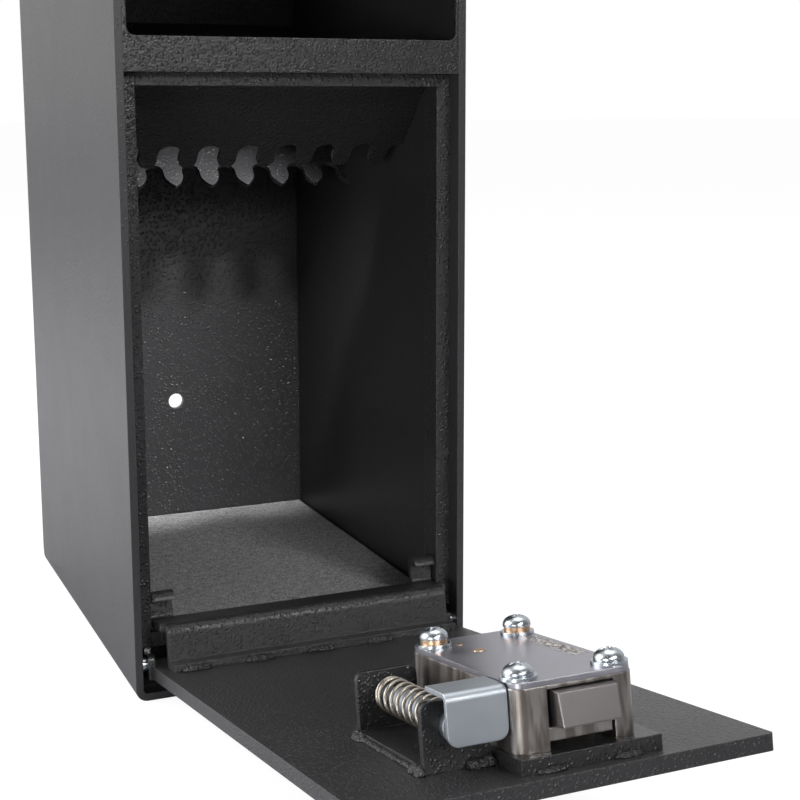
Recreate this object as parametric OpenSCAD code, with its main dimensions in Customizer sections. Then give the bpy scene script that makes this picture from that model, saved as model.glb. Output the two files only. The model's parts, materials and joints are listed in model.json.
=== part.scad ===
// Narrow under-counter drop safe with an open deposit mouth and a bottom-hinged door.
// Millimetres. X runs across the front, Y runs back from the front face, Z is up.
// Modules draw from the middle of the front edge's foot and are then moved so that the origin
// is the middle of the base. What is on the door is drawn with the door shut, then swung open.

/* [Cabinet] */
// Width over the outer wrap.
cabinet_width = 152.4; // [140:0.1:180]
// Depth from the front face to the back.
cabinet_depth = 215.9; // [200:0.1:260]
// Height over the outer wrap.
cabinet_height = 330.2; // [300:0.1:380]
// Sheet of the outer wrap, the back and the front panel.
wrap_sheet = 3.2; // [3:0.1:3.4]
// Outside radius of the long bends along the wrap.
wrap_bend = 5; // [4:0.1:7]
// Radius of the wrap's rear corners, seen from the side.
rear_corner = 10; // [8:0.1:14]
// Height of the anchor hole in the back.
anchor_height = 84.8; // [60:0.1:120]
// Radius of the anchor hole.
anchor_radius = 4.2; // [3:0.1:6]

/* [Deposit mouth] */
// Height of the front panel, from its lower edge, which the shut door meets, to the top.
front_height = 69.2; // [66:0.1:74]
// Height of the mouth's sill above the lintel's lower edge.
lintel_face = 14; // [12:0.1:18]
// Height of the mouth itself.
mouth_height = 41; // [30:0.1:44]
// Width of the strip of front panel left beside the mouth.
mouth_strip = 1.6; // [1:0.1:4]
// Corner radius of the mouth.
mouth_corner = 3.5; // [2:0.1:6]
// Sheet of the chute and of the rear baffle.
chute_sheet = 2.5; // [2:0.1:3]
// Depth at which the flat sill turns down into the chute, on its upper face.
chute_start = 19; // [18:0.1:22]
// How far the chute's tooth tips hang below the mouth's sill.
chute_drop = 54.8; // [52:0.1:58]
// How far the rear baffle reaches forward from the back.
baffle_run = 82.7; // [70:0.1:90]
// How far the rear baffle's tooth tips hang below the mouth's sill.
baffle_drop = 65.8; // [61:0.1:75]
// Spacing of the teeth.
tooth_pitch = 18.4; // [16:0.1:20]
// Width of the round teeth of the chute.
tooth_width = 8.2; // [6:0.1:9]
// Length of each tooth, tip to notch.
tooth_length = 14; // [12:0.1:18]
// Sideways place of the notch nearest the middle of the chute.
chute_shift = -2.1; // [-4:0.1:4]
// Sideways place of the notch nearest the middle of the rear baffle.
baffle_shift = 9.2; // [7:0.1:10]
// Width of the pointed teeth of the rear baffle.
point_width = 9.4; // [8:0.1:10]
// Length over which those teeth taper to a point.
point_length = 7; // [5:0.1:9]

/* [Door frame] */
// Distance from the front face back to the stops.
stop_setback = 9; // [8.6:0.1:10]
// Width of the side jambs.
jamb_width = 6.35; // [5:0.05:6.6]
// Depth of the side jambs.
jamb_depth = 12.7; // [8:0.1:16]
// Height of the head stop.
head_stop_height = 5.2; // [4.8:0.05:5.3]
// Depth of the head stop.
head_stop_depth = 6.35; // [4:0.05:6.4]
// Height of the sill rail's top edge.
rail_top = 25.4; // [24:0.1:25.8]
// Height of the sill rail itself.
rail_height = 5.2; // [4:0.1:5.2]
// Thickness of the sill rail.
rail_sheet = 3.2; // [2:0.1:3.4]
// Depth at which the raised floor starts.
floor_start = 38.5; // [37.5:0.1:44]
// Height of the raised floor's upper face.
floor_height = 18; // [16:0.1:20]
// Sheet of the raised floor.
floor_sheet = 3; // [2:0.1:3.4]
// Thickness of the mat on the floor.
mat_thickness = 2.5; // [2:0.1:4]
// Gap left round the mat.
mat_gap = 1.4; // [0.6:0.1:3]

/* [Door] */
// Angle by which the drawn door is swung open from shut.
door_open = 80.03; // [60:0.01:84]
// Thickness of the door plate.
door_plate_thickness = 5.5; // [5:0.1:6]
// Gap between the door plate and each side of the cabinet.
door_side_gap = 4.4; // [4:0.1:4.7]
// Gap between the shut door and the front panel.
door_head_gap = 1.5; // [1:0.1:2.5]
// Corner radius of the door plate's free edge.
door_corner = 1.6; // [1:0.1:4]
// Depth of the hinge axis behind the front face.
hinge_depth = 6; // [5.8:0.05:6.2]
// Height of the hinge axis.
hinge_height = 14; // [13.8:0.05:14.2]
// How far the door plate runs below the hinge axis.
door_tail = 7.8; // [7:0.1:8.2]
// Radius of the hinge pins.
hinge_pin_radius = 2.9; // [2:0.1:3.1]
// Thickness of the hinge ears.
ear_sheet = 2.8; // [2:0.1:3.2]
// How far each hinge pin sits in the side of the cabinet.
hinge_pin_seat = 2.2; // [1.5:0.1:2.6]

/* [Pry bar] */
// Sheet of the bar.
bar_sheet = 3; // [2.4:0.1:3]
// Gap between each end of the bar's web and the jamb.
bar_side_gap = 2.75; // [2.2:0.05:6]
// Height of the web's inner face above the hinge axis.
bar_web_offset = 12.4; // [12.2:0.1:13]
// Length of the foot welded to the door.
bar_foot = 12.1; // [10:0.1:14]
// Distance the bar reaches in from the door plate.
bar_reach = 18.4; // [18:0.1:19]
// How far the hook's lip runs below the web's outer face.
bar_lip = 20.4; // [18:0.1:20.6]
// Outside radius of the bar's bends.
bar_bend = 4; // [3.2:0.1:5]
// Gap between each curled tab and the jamb.
tab_gap = 0.75; // [0.6:0.05:5]
// Width of each curled tab.
tab_width = 9.7; // [8:0.1:9.8]
// Mid-line radius of the tab's first bend.
tab_bend = 3; // [2:0.1:3]
// Straight run of the tab between its bends.
tab_run = 6.5; // [4:0.1:6.6]
// Mid-line radius of the curl at the tab's end.
tab_curl = 2.5; // [2.4:0.1:2.8]

/* [Lock] */
// Middle of the lock across the door.
lock_x = 5.4; // [5.2:0.1:7]
// Width of the lock case.
case_width = 42; // [41:0.1:42.2]
// Length of the lock case.
case_length = 76.2; // [74:0.1:78]
// Height of the case below its cover.
case_height = 19.4; // [19.4:0.1:20]
// Thickness of the cover.
cover_sheet = 1.8; // [1.4:0.1:2]
// Corner radius of the case.
case_corner = 5; // [4:0.1:5.2]
// Thickness of the riser plate under the lock.
riser_sheet = 4.76; // [4:0.01:4.9]
// Gap between the riser and the head stop when the door is shut.
riser_gap = 1.8; // [1.6:0.1:3]
// How far the riser runs beyond the case at its free end.
riser_step = 3.8; // [3.4:0.1:5]
// Screw spacing across the case.
screw_spacing_x = 31.4; // [30:0.1:32]
// Screw spacing along the case.
screw_spacing_z = 60.6; // [58:0.1:62]
// Radius of the screws' shanks.
screw_radius = 2.4; // [2:0.1:2.6]
// Radius of the screws' heads.
screw_head_radius = 4.8; // [4.6:0.1:5.4]
// Height of the screws' heads.
screw_head_height = 3.8; // [3.4:0.1:4.5]
// Radius of the flat washers.
washer_radius = 5.8; // [5.6:0.05:6.4]
// Thickness of the flat washers.
washer_sheet = 1.2; // [0.8:0.1:1.4]
// Thickness of the split washers.
split_sheet = 1.6; // [1.2:0.1:1.8]
// Left edge of the bolt window, measured from the lock's middle.
window_left = 10; // [9.8:0.1:11]
// Right edge of the bolt window, measured from the lock's middle.
window_right = 12.95; // [12.95:0.05:13.4]
// Width of the bolt.
bolt_width = 21.3; // [20:0.1:21.3]
// Height of the bolt, square to the door.
bolt_height = 11; // [10.4:0.1:11]
// How far the bolt's face slopes back from its foot to its top.
bolt_slope = 2; // [0.5:0.1:3]
// How far the drawn-back bolt stands out of the case.
bolt_rest_out = 4.5; // [3:0.1:4.5]
// Crank radius that moves the bolt.
crank_radius = 4.95; // [4.5:0.05:5]
// Radius of the plug that the key turns.
plug_radius = 6; // [5:0.1:6.4]
// Radius of the cylinder round the plug.
cylinder_radius = 9.5; // [8.8:0.1:9.6]
// Radius of the cylinder's outer rim.
rim_radius = 12.5; // [11.5:0.1:16]
// How far the rim stands out of the door.
rim_height = 3.2; // [2:0.1:5]

/* [Relocker] */
// Middle of the relocking pin across the door.
relock_x = -28.6; // [-29:0.1:-28.4]
// Height of the relocking pin above the door plate.
relock_height = 13.6; // [13:0.1:14]
// Sheet of the bent bracket.
bracket_sheet = 2.4; // [2:0.1:2.6]
// Width of the bracket.
bracket_width = 21.4; // [20:0.1:21.8]
// Height of the bracket's ears.
bracket_height = 21.5; // [20.5:0.1:22.5]
// Distance from the lintel's lower edge down to the bracket's front ear.
relock_setback = 27.9; // [26:0.1:29]
// Distance between the ears.
bracket_span = 49.1; // [47:0.1:50]
// Radius of the pin inside the spring.
pin_radius = 3.9; // [3.4:0.1:3.9]
// Radius of the pin in the front ear and beyond it.
nose_radius = 5.2; // [4.6:0.1:5.4]
// Radius of the collar that the spring pushes on.
collar_radius = 7.2; // [6.4:0.1:7.4]
// Thickness of the collar.
collar_sheet = 3.2; // [2:0.1:4]
// Radius of the pin's tail in the rear ear.
pin_tail_radius = 2.6; // [2:0.1:3]
// Mid-line radius of the spring's turns.
spring_radius = 5.5; // [5.3:0.1:5.6]
// Thickness of the spring's wire.
spring_wire = 1.3; // [1:0.1:1.4]
// Number of open turns.
open_turns = 7.5; // [6:0.5:8]
// Number of close turns at the spring's rear end.
close_turns = 1.5; // [0.5:0.5:2]
// Sheet of the angled plate on the pin.
plate_sheet = 1.5; // [1.2:0.1:2]
// Width of the angled plate.
plate_width = 19.8; // [18:0.1:19.9]
// Height of the plate's front flange.
plate_drop = 15.9; // [14:0.1:16.4]
// Depth of the plate's top flange.
plate_depth = 14.5; // [11:0.1:15]

/* [Hidden] */
$fn = 64;
over = 1;
fit = 0.05;
hair = 0.01;
spare = 10;
inner_half = cabinet_width / 2 - wrap_sheet;
inner_back = cabinet_depth - wrap_sheet;
lintel_height = cabinet_height - front_height;
mouth_sill = lintel_height + lintel_face;
mouth_half = inner_half - mouth_strip;
jamb_foot = rail_top - rail_height;
jamb_half = inner_half - jamb_width;
chute_sum = mouth_sill + chute_start;
chute_tip_height = mouth_sill - chute_drop;
baffle_tip_depth = inner_back - baffle_run;
baffle_tip_height = mouth_sill - baffle_drop;
slant = sqrt(2);
point_blunt = 0.3;

// The door, its ears and its hinge.
door_half = inner_half - door_side_gap;
door_top = lintel_height - door_head_gap;
door_foot = hinge_height - door_tail;
ear_setback = 1;
ear_reach = 5.6;
ear_depth = 4.6;
ear_inner = door_half - ear_setback;
ear_outer = ear_inner + ear_sheet;
ear_front = hinge_height + ear_reach;
ear_rise = door_plate_thickness + ear_depth;
ear_round = 2;
heel_rise = jamb_foot - fit - hinge_height;
heel_near = 2.6;
heel_far = 6.6;
heel_slope = 0.8;
heel_foot = 6;
pin_sink = 0.2;

// The pry bar and its welds.
bar_length = 2 * (jamb_half - bar_side_gap);
web_low = hinge_height + bar_web_offset;
web_high = web_low + bar_sheet;
foot_end = web_low + bar_foot;
lip_outer = door_plate_thickness + bar_reach;
lip_inner = lip_outer - bar_sheet;
lip_end = web_high - bar_lip;
tab_inner = jamb_half - tab_gap - tab_width;
bead_lump = 0.3;
bar_bead_length = 8;
bar_bead_radius = 2.3;
bar_bead_inset = 9;
bar_bead_pitch = (bar_length / 2 - bar_bead_inset) / 2;

// The riser, the lock case and its cover.
riser_top = lintel_height - head_stop_height - riser_gap;
case_top = riser_top - riser_step;
case_foot = case_top - case_length;
riser_heel = 2.5;
riser_foot = case_foot - riser_heel;
riser_left = 0.9;
riser_right = 5.1;
riser_face = door_plate_thickness + riser_sheet;
riser_bead_length = 7;
riser_bead_left = 12;
riser_bead_right = 14;
top_bead_radius = 1.5;
foot_bead_radius = 2;
case_face = riser_face + case_height;
cover_face = case_face + cover_sheet;
case_left = lock_x - case_width / 2;
riser_edge = case_left - riser_left;
cover_inset = 0.3;
rivet_rise = 0.2;
rivets = [[lock_x - 6.5, case_foot + 24.6, 2.2], [lock_x - 7.7, case_foot + 11.8, 1.3]];

// The screws and their washers.
screw_shift = 1.1;
screw_z = (case_foot + case_top) / 2 + screw_shift;
screw_hole = screw_radius + 0.1;
bore_end = 1;
shank_end = 1.5;
shank_sink = 0.5;
recess_length = 5.2;
recess_width = 1.1;
recess_depth = 2.2;
recess_turn = 20;
split_step = 0.3;
split_gap = 0.9;
split_turn = 200;

// The bolt, its window and the crank that moves it.
window_rim = 1.1;
window_height = 11.4;
window_high = case_face - window_rim;
window_low = window_high - window_height;
bolt_shift = 2.1;
bolt_gap = 0.2;
bolt_x = lock_x + bolt_shift;
bolt_low = window_low + bolt_gap;
bolt_tip = case_top + bolt_rest_out;
bolt_length = 56;
bolt_room = 1.5;
bolt_bevel = 6;
bolt_side_cut = 1.2;
bolt_top_cut = 1.3;
plug_setback = 42;
plug_x = bolt_x;
plug_z = case_top - plug_setback;
plug_sink = 0.6;
keyway_width = 1.8;
keyway_height = 8;
keyway_depth = 9;
crank_step = crank_radius * sin(45);
cam_radius = 8.4;
cam_gap = 0.3;
cam_low = riser_face + cam_gap;
cam_sheet = 3.6;
crank_pin_radius = 2;
crank_pin_reach = 3.5;
crank_slot_gap = 0.25;
crank_slot_left = 1.5;
crank_slot_depth = 4.2;

// The relocker's bracket, pin, plate and spring.
relock_y = door_plate_thickness + relock_height;
bracket_front = lintel_height - relock_setback;
bracket_rear = bracket_front - bracket_span;
bracket_left = relock_x - bracket_width / 2;
bracket_round = 3;
side_weld_radius = 2.8;
side_bead_radius = 1.3;
side_weld_width = 5;
front_weld_radius = 3.2;
front_weld_gap = 0.2;
collar_rear = bracket_front - fit - collar_sheet;
tail_end = bracket_rear - bracket_sheet - 2.5;
tail_step = bracket_rear + 12;
nose_end = bracket_front + bracket_sheet + 3.2;
plate_rise = 25.6;
plate_reach = 10.9;
plate_gap = 0.3;
plate_bend = 2.6;
plate_corner = 3.5;
plate_top_y = door_plate_thickness + plate_rise;
plate_low_y = plate_top_y - plate_drop;
plate_front = bracket_front + bracket_sheet + plate_reach;
plate_left = case_left - plate_gap - plate_width;
spring_ease = 1.3;
spring_length = collar_rear - bracket_rear;

// A rectangle centred on the origin with rounded corners.
module round_rect(w, h, r) {
  square([w - 2 * r, h], center = true);
  square([w, h - 2 * r], center = true);
  for (x = [-1, 1])
    for (y = [-1, 1])
      translate([x * (w / 2 - r), y * (h / 2 - r)])
        circle(r);
}

// An upright slab: a profile in X and Z, thickened along Y from y.
module slab_y(y, thick) {
  translate([0, y + thick, 0])
    rotate([90, 0, 0])
      linear_extrude(thick)
        children();
}

// A bar: a profile in Y and Z, run along X between two ends.
module run_x(x0, x1) {
  translate([x0, 0, 0])
    rotate([90, 0, 90])
      linear_extrude(x1 - x0)
        children();
}

// A pin or bore along Y.
module rod_y(x, z, y0, y1, r) {
  translate([x, y1, z])
    rotate([90, 0, 0])
      cylinder(h = y1 - y0, r = r);
}

// A pin or bore along Z.
module rod_z(x, y, z0, z1, r) {
  translate([x, y, z0])
    cylinder(h = z1 - z0, r = r);
}

// Moves what is drawn from the front edge to the middle of the base.
module placed() {
  translate([0, -cabinet_depth / 2, 0])
    children();
}

// Swings what is drawn on the shut door to its open pose.
module swung() {
  placed()
    translate([0, hinge_depth, hinge_height])
      rotate([door_open, 0, 0])
        translate([0, -hinge_depth, -hinge_height])
          children();
}

// The cabinet's side outline: square in front and round at the two rear corners.
module side_outline() {
  square([cabinet_depth - rear_corner, cabinet_height]);
  translate([0, rear_corner])
    square([cabinet_depth, cabinet_height - 2 * rear_corner]);
  for (z = [rear_corner, cabinet_height - rear_corner])
    translate([cabinet_depth - rear_corner, z])
      circle(rear_corner);
}

// The hollow inside the wrap's bends, as a profile in X and Z.
module inner_outline(gap = 0) {
  translate([0, cabinet_height / 2])
    round_rect(2 * (inner_half - gap), cabinet_height - 2 * (wrap_sheet + gap),
      wrap_bend - wrap_sheet);
}

// One bent sheet that makes both sides, the top and the bottom.
module body_wrap() {
  color("#3a3a3d")
  placed()
    difference() {
      intersection() {
        slab_y(0, cabinet_depth)
          translate([0, cabinet_height / 2])
            round_rect(cabinet_width, cabinet_height, wrap_bend);
        run_x(-cabinet_width / 2, cabinet_width / 2)
          side_outline();
      }
      slab_y(-over, cabinet_depth + 2 * over)
        inner_outline();
      for (side = [-1, 1])
        translate([side * (inner_half - over), hinge_depth, hinge_height])
          rotate([0, side * 90, 0])
            cylinder(h = hinge_pin_seat + over, r = hinge_pin_radius);
    }
}

// The back, with the hole for one anchor bolt.
module back_panel() {
  color("#3a3a3d")
  placed()
    difference() {
      intersection() {
        slab_y(inner_back, wrap_sheet)
          inner_outline();
        run_x(-cabinet_width / 2, cabinet_width / 2)
          side_outline();
      }
      rod_y(0, anchor_height, inner_back - over, cabinet_depth + over, anchor_radius);
    }
}

// The front above the door, with the deposit mouth cut through it.
module front_panel() {
  color("#3a3a3d")
  placed()
    difference() {
      slab_y(0, wrap_sheet)
        intersection() {
          inner_outline();
          translate([-inner_half, lintel_height])
            square([2 * inner_half, cabinet_height]);
        }
      slab_y(-over, wrap_sheet + 2 * over)
        translate([0, mouth_sill + mouth_height / 2])
          round_rect(2 * mouth_half, mouth_height, mouth_corner);
    }
}

// A row of places one tooth pitch apart along X.
module tooth_row(shift) {
  for (i = [-5 : 5])
    translate([i * tooth_pitch + shift, 0])
      children();
}

// A notch of the given width between two teeth, round at its closed end.
module notch(gap) {
  translate([-gap / 2, -over])
    square([gap, tooth_length - gap / 2 + over]);
  translate([0, tooth_length - gap / 2])
    circle(gap / 2);
}

// The slanting sheet of the given length, kept between the cabinet's sides.
module between_sides(length) {
  intersection() {
    translate([-inner_half, 0])
      square([2 * inner_half, length]);
    children();
  }
}

// A sheet with round-ended teeth whose tips lie on y = 0.
module round_teeth(length) {
  r = tooth_width / 2;
  between_sides(length)
    union() {
      difference() {
        translate([-inner_half, r])
          square([2 * inner_half, length - r]);
        tooth_row(chute_shift)
          notch(tooth_pitch - tooth_width);
      }
      tooth_row(chute_shift + tooth_pitch / 2)
        translate([0, r])
          circle(r);
    }
}

// Places along the flank of a pointed tooth at x, from its blunt tip to its full width and,
// on its other side, back to the tip.
function flank(x, side) = [for (i = [0 : 6])
  let (t = side > 0 ? i / 6 : 1 - i / 6)
    [x + side * (point_blunt + (point_width / 2 - point_blunt) * (1 - pow(1 - t, 2))),
      point_length * t]];

// A notch between two pointed teeth.
module pointed_notch() {
  gap = tooth_pitch - point_width;
  polygon(concat(
    [[point_blunt - tooth_pitch / 2, -over]],
    flank(-tooth_pitch / 2, 1),
    [[-gap / 2, tooth_length - gap / 2], [gap / 2, tooth_length - gap / 2]],
    flank(tooth_pitch / 2, -1),
    [[tooth_pitch / 2 - point_blunt, -over]]
  ));
  translate([0, tooth_length - gap / 2])
    circle(gap / 2);
}

// A sheet with pointed teeth whose tips lie on y = 0.
module pointed_teeth(length) {
  between_sides(length)
    difference() {
      translate([-inner_half, 0])
        square([2 * inner_half, length]);
      tooth_row(baffle_shift)
        pointed_notch();
    }
}

// The sill of the mouth and the chute that slopes down from it to a row of teeth.
module chute_plate() {
  low = chute_tip_height;
  back = chute_sum - chute_sheet * slant - low;
  length = (mouth_sill - chute_sheet - low) * slant;
  under_y = chute_start - chute_sheet * (slant - 1);
  under_z = mouth_sill - chute_sheet;
  color("#343437")
    placed() {
      run_x(-inner_half, inner_half)
        polygon([
          [wrap_sheet, mouth_sill],
          [wrap_sheet, under_z],
          [under_y, under_z],
          [chute_start, mouth_sill]
        ]);
      intersection() {
        translate([0, back, low])
          rotate([135, 0, 0])
            translate([0, 0, -chute_sheet])
              linear_extrude(chute_sheet)
                round_teeth(length + spare);
        run_x(-inner_half, inner_half)
          polygon([
            [under_y, under_z],
            [chute_start, mouth_sill],
            [chute_sum - low + spare, low - spare],
            [chute_sum - low - spare, low - spare]
          ]);
      }
    }
}

// The rear baffle that slopes down and forward from the back, with staggered teeth.
module rear_baffle() {
  color("#343437")
  placed()
    intersection() {
      translate([0, baffle_tip_depth, baffle_tip_height])
        rotate([45, 0, 0])
          translate([0, 0, -chute_sheet])
            linear_extrude(chute_sheet)
              pointed_teeth(baffle_run * slant + spare);
      run_x(-inner_half, inner_half)
        square([inner_back, cabinet_height]);
    }
}

// A side jamb that stops the door.
module jamb(side) {
  x0 = side < 0 ? -inner_half : jamb_half;
  translate([x0, stop_setback, jamb_foot])
    cube([jamb_width, jamb_depth, lintel_height - jamb_foot]);
}

// The left jamb.
module jamb_left() {
  color("#3a3a3d")
  placed()
    jamb(-1);
}

// The right jamb.
module jamb_right() {
  color("#3a3a3d")
  placed()
    jamb(1);
}

// The bar behind the lintel that the door, the bolt and the relocker shut against.
module head_stop() {
  color("#3a3a3d")
  placed()
    translate([-jamb_half, stop_setback, lintel_height - head_stop_height])
      cube([2 * jamb_half, head_stop_depth, head_stop_height]);
}

// The rail that the pry bar hooks over.
module sill_rail() {
  color("#3a3a3d")
  placed()
    translate([-jamb_half, stop_setback, jamb_foot])
      cube([2 * jamb_half, rail_sheet, rail_height]);
}

// The raised floor, bent down in front.
module floor_pan() {
  color("#343437")
  placed()
    intersection() {
      run_x(-inner_half, inner_half)
        polygon([
          [floor_start, wrap_sheet],
          [floor_start + floor_sheet, wrap_sheet],
          [floor_start + floor_sheet, floor_height - floor_sheet],
          [inner_back, floor_height - floor_sheet],
          [inner_back, floor_height],
          [floor_start, floor_height]
        ]);
      slab_y(0, cabinet_depth)
        inner_outline(hair);
    }
}

// The mat on the floor.
module floor_mat() {
  color("#8c8a88")
  placed()
    translate([-inner_half + mat_gap, floor_start + mat_gap, floor_height])
      cube([2 * (inner_half - mat_gap), inner_back - floor_start - 2 * mat_gap, mat_thickness]);
}

// The two fixed hinge pins, seated in the cabinet's sides.
module hinge_pins() {
  color("#c9ccd1")
  placed()
    for (side = [-1, 1])
      translate([side * (ear_inner + pin_sink), hinge_depth, hinge_height])
        rotate([0, side * 90, 0])
          cylinder(h = inner_half + hinge_pin_seat - ear_inner - pin_sink,
            r = hinge_pin_radius);
}

// Bores for the lock's screws, from the door plate outward.
module screw_bores(y0, y1, r) {
  for (x = [-1, 1])
    for (z = [-1, 1])
      rod_y(lock_x + x * screw_spacing_x / 2, screw_z + z * screw_spacing_z / 2, y0, y1, r);
}

// The door plate, narrower at its foot where the ears stand.
module door_plate() {
  color("#3a3a3d")
    swung()
      difference() {
        slab_y(0, door_plate_thickness)
          union() {
            translate([-door_half, ear_front])
              square([2 * door_half, door_top - ear_front - door_corner]);
            translate([-door_half + door_corner, door_top - 2 * door_corner])
              square([2 * (door_half - door_corner), 2 * door_corner]);
            for (side = [-1, 1])
              translate([side * (door_half - door_corner), door_top - door_corner])
                circle(door_corner);
            translate([-ear_inner, door_foot])
              square([2 * ear_inner, ear_front - door_foot + over]);
          }
        screw_bores(bore_end, door_plate_thickness + over, screw_hole);
        rod_y(plug_x, plug_z, -over, door_plate_thickness + over, cylinder_radius + fit);
      }
}

// The ears that turn on the hinge pins, each with a heel that stops the open door.
module hinge_ears() {
  color("#3a3a3d")
    swung()
      for (side = [-1, 1])
        difference() {
          run_x(min(side * ear_inner, side * ear_outer), max(side * ear_inner, side * ear_outer)) {
            polygon([
              [0, door_foot],
              [ear_rise, door_foot],
              [ear_rise, ear_front - ear_round],
              [ear_rise - ear_round, ear_front],
              [0, ear_front]
            ]);
            translate([ear_rise - ear_round, ear_front - ear_round])
              circle(ear_round);
            translate([hinge_depth, hinge_height])
              rotate(-door_open)
                polygon([
                  [0, 0],
                  [heel_near, heel_rise],
                  [heel_far, heel_rise],
                  [heel_far + heel_slope, heel_rise - 2 * heel_slope],
                  [heel_foot, 0]
                ]);
          }
          translate([side * ear_inner, hinge_depth, hinge_height])
            rotate([0, 90, 0])
              cylinder(h = 4 * ear_sheet, r = hinge_pin_radius + fit, center = true);
        }
}

// A quarter of a bent sheet's corner: a ring sector between two radii.
module bend(outer, sheet, a) {
  rotate(a)
    difference() {
      intersection() {
        circle(outer);
        square(outer);
      }
      circle(outer - sheet);
    }
}

// The hook's profile in Y and Z: foot, web and lip.
module hook_profile() {
  r = bar_bend;
  y = door_plate_thickness;
  difference() {
    translate([y, web_low])
      square([bar_sheet, foot_end - web_low]);
    translate([y - over, web_low - over])
      square([r - bar_sheet + over, r - bar_sheet + over]);
  }
  translate([y + r - bar_sheet, web_low + r - bar_sheet])
    bend(r - bar_sheet + 0.001, r - bar_sheet, 180);
  translate([y + r - bar_sheet, web_low])
    square([lip_outer - r - y - r + bar_sheet, bar_sheet]);
  translate([lip_outer - r, web_high - r])
    bend(r, bar_sheet, 0);
  translate([lip_inner, lip_end])
    square([bar_sheet, web_high - r - lip_end]);
}

// The tab's profile: a bend away from the lip, a straight run and a curl.
module tab_profile() {
  mid = lip_inner + bar_sheet / 2;
  turn = lip_end + tab_bend;
  half = bar_sheet / 2;
  translate([lip_inner, turn])
    square([bar_sheet, web_high - bar_bend - turn]);
  translate([mid + tab_bend, turn])
    bend(tab_bend + half, bar_sheet, 180);
  translate([mid + tab_bend, lip_end - half])
    square([tab_run, bar_sheet]);
  translate([mid + tab_bend + tab_run, lip_end + tab_curl]) {
    bend(tab_curl + half, bar_sheet, 270);
    bend(tab_curl + half, bar_sheet, 0);
  }
}

// The hooked bar along the door's foot, with a curled tab at each end.
module pry_bar() {
  color("#3a3a3d")
    swung() {
      difference() {
        run_x(-bar_length / 2, bar_length / 2)
          hook_profile();
        for (side = [-1, 1])
          translate([side * (tab_inner + spare) - spare, lip_inner - over, lip_end - over])
            cube([2 * spare, bar_sheet + 2 * over, web_high - bar_bend - lip_end + over]);
      }
      for (side = [-1, 1])
        run_x(side < 0 ? -tab_inner - tab_width : tab_inner,
            side < 0 ? -tab_inner : tab_inner + tab_width)
          tab_profile();
    }
}

// One weld bead along X in the corner between a plate's face and an edge.
module bead_x(x, y, z, length, r) {
  intersection() {
    union() {
      translate([x - length / 2, y, z])
        rotate([0, 90, 0])
          cylinder(h = length, r = r);
      for (end = [-1, 1])
        translate([x + end * length / 2, y, z])
          sphere(r);
      for (i = [-1 : 1])
        translate([x + i * length / 4, y, z])
          sphere(r + bead_lump);
    }
    translate([x - length, y, z])
      cube([2 * length, 3 * r, 3 * r]);
  }
}

// The stitch welds that hold the pry bar's foot.
module pry_bar_welds() {
  color("#303033")
    swung()
      for (i = [-2 : 2])
        bead_x(i * bar_bead_pitch, door_plate_thickness, foot_end, bar_bead_length,
          bar_bead_radius);
}

// The riser plate under the lock.
module lock_riser() {
  color("#3a3a3d")
    swung()
      difference() {
        translate([riser_edge, door_plate_thickness, riser_foot])
          cube([case_width + riser_left + riser_right, riser_sheet, riser_top - riser_foot]);
        screw_bores(door_plate_thickness - over, riser_face + over, screw_hole);
        rod_y(plug_x, plug_z, 0, riser_face + over, cylinder_radius + fit);
      }
}

// The stitch welds along the riser's free end and its foot.
module riser_welds() {
  color("#303033")
    swung()
      for (x = [lock_x - riser_bead_left, lock_x + riser_bead_right]) {
        bead_x(x, door_plate_thickness, riser_top, riser_bead_length, top_bead_radius);
        mirror_z(riser_foot)
          bead_x(x, door_plate_thickness, riser_foot, riser_bead_length, foot_bead_radius);
      }
}

// Turns what is drawn upside down about a height.
module mirror_z(z) {
  translate([0, 0, z])
    mirror([0, 0, 1])
      translate([0, 0, -z])
        children();
}

// One ear of the bracket, rounded at its two far corners.
module bracket_ear(z) {
  r = bracket_round;
  translate([bracket_left, door_plate_thickness, z])
    linear_extrude(bracket_sheet)
      union() {
        square([bracket_width, bracket_height - r]);
        translate([r, 0])
          square([bracket_width - 2 * r, bracket_height]);
        for (x = [r, bracket_width - r])
          translate([x, bracket_height - r])
            circle(r);
      }
}

// The bent bracket that guides the relocking pin.
module bracket() {
  color("#2c2c2f")
    swung()
      difference() {
        union() {
          translate([bracket_left, door_plate_thickness, bracket_rear - bracket_sheet])
            cube([bracket_width, bracket_sheet, bracket_span + 2 * bracket_sheet]);
          bracket_ear(bracket_rear - bracket_sheet);
          bracket_ear(bracket_front);
        }
        rod_z(relock_x, relock_y, bracket_rear - 2 * bracket_sheet, bracket_rear + over,
          pin_tail_radius + fit);
        rod_z(relock_x, relock_y, bracket_front - over, bracket_front + 2 * bracket_sheet,
          nose_radius + fit);
      }
}

// The blobs of weld round the bracket's foot.
module bracket_welds() {
  r = side_weld_radius;
  x1 = bracket_left + bracket_width;
  z0 = bracket_rear - bracket_sheet;
  z1 = bracket_front + bracket_sheet;
  color("#303033")
    swung() {
      intersection() {
        union() {
          rod_z(bracket_left, door_plate_thickness, z0, z1, side_bead_radius);
          for (z = [z0 + r / 2, z0 + 5 * r / 3, z1 - 2 * r, z1 - r / 2])
            translate([bracket_left, door_plate_thickness, z])
              sphere(r);
        }
        translate([bracket_left - side_weld_width, door_plate_thickness, z0 - r])
          cube([side_weld_width, side_weld_width, bracket_span + 2 * bracket_sheet + 2 * r]);
      }
      intersection() {
        for (i = [0 : 2])
          translate([x1 - 0.8 * i * front_weld_radius, door_plate_thickness, z1])
            sphere(front_weld_radius);
        translate([bracket_left, door_plate_thickness, z1])
          cube([riser_edge - front_weld_gap - bracket_left, 2 * front_weld_radius,
            2 * front_weld_radius]);
      }
    }
}

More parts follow.
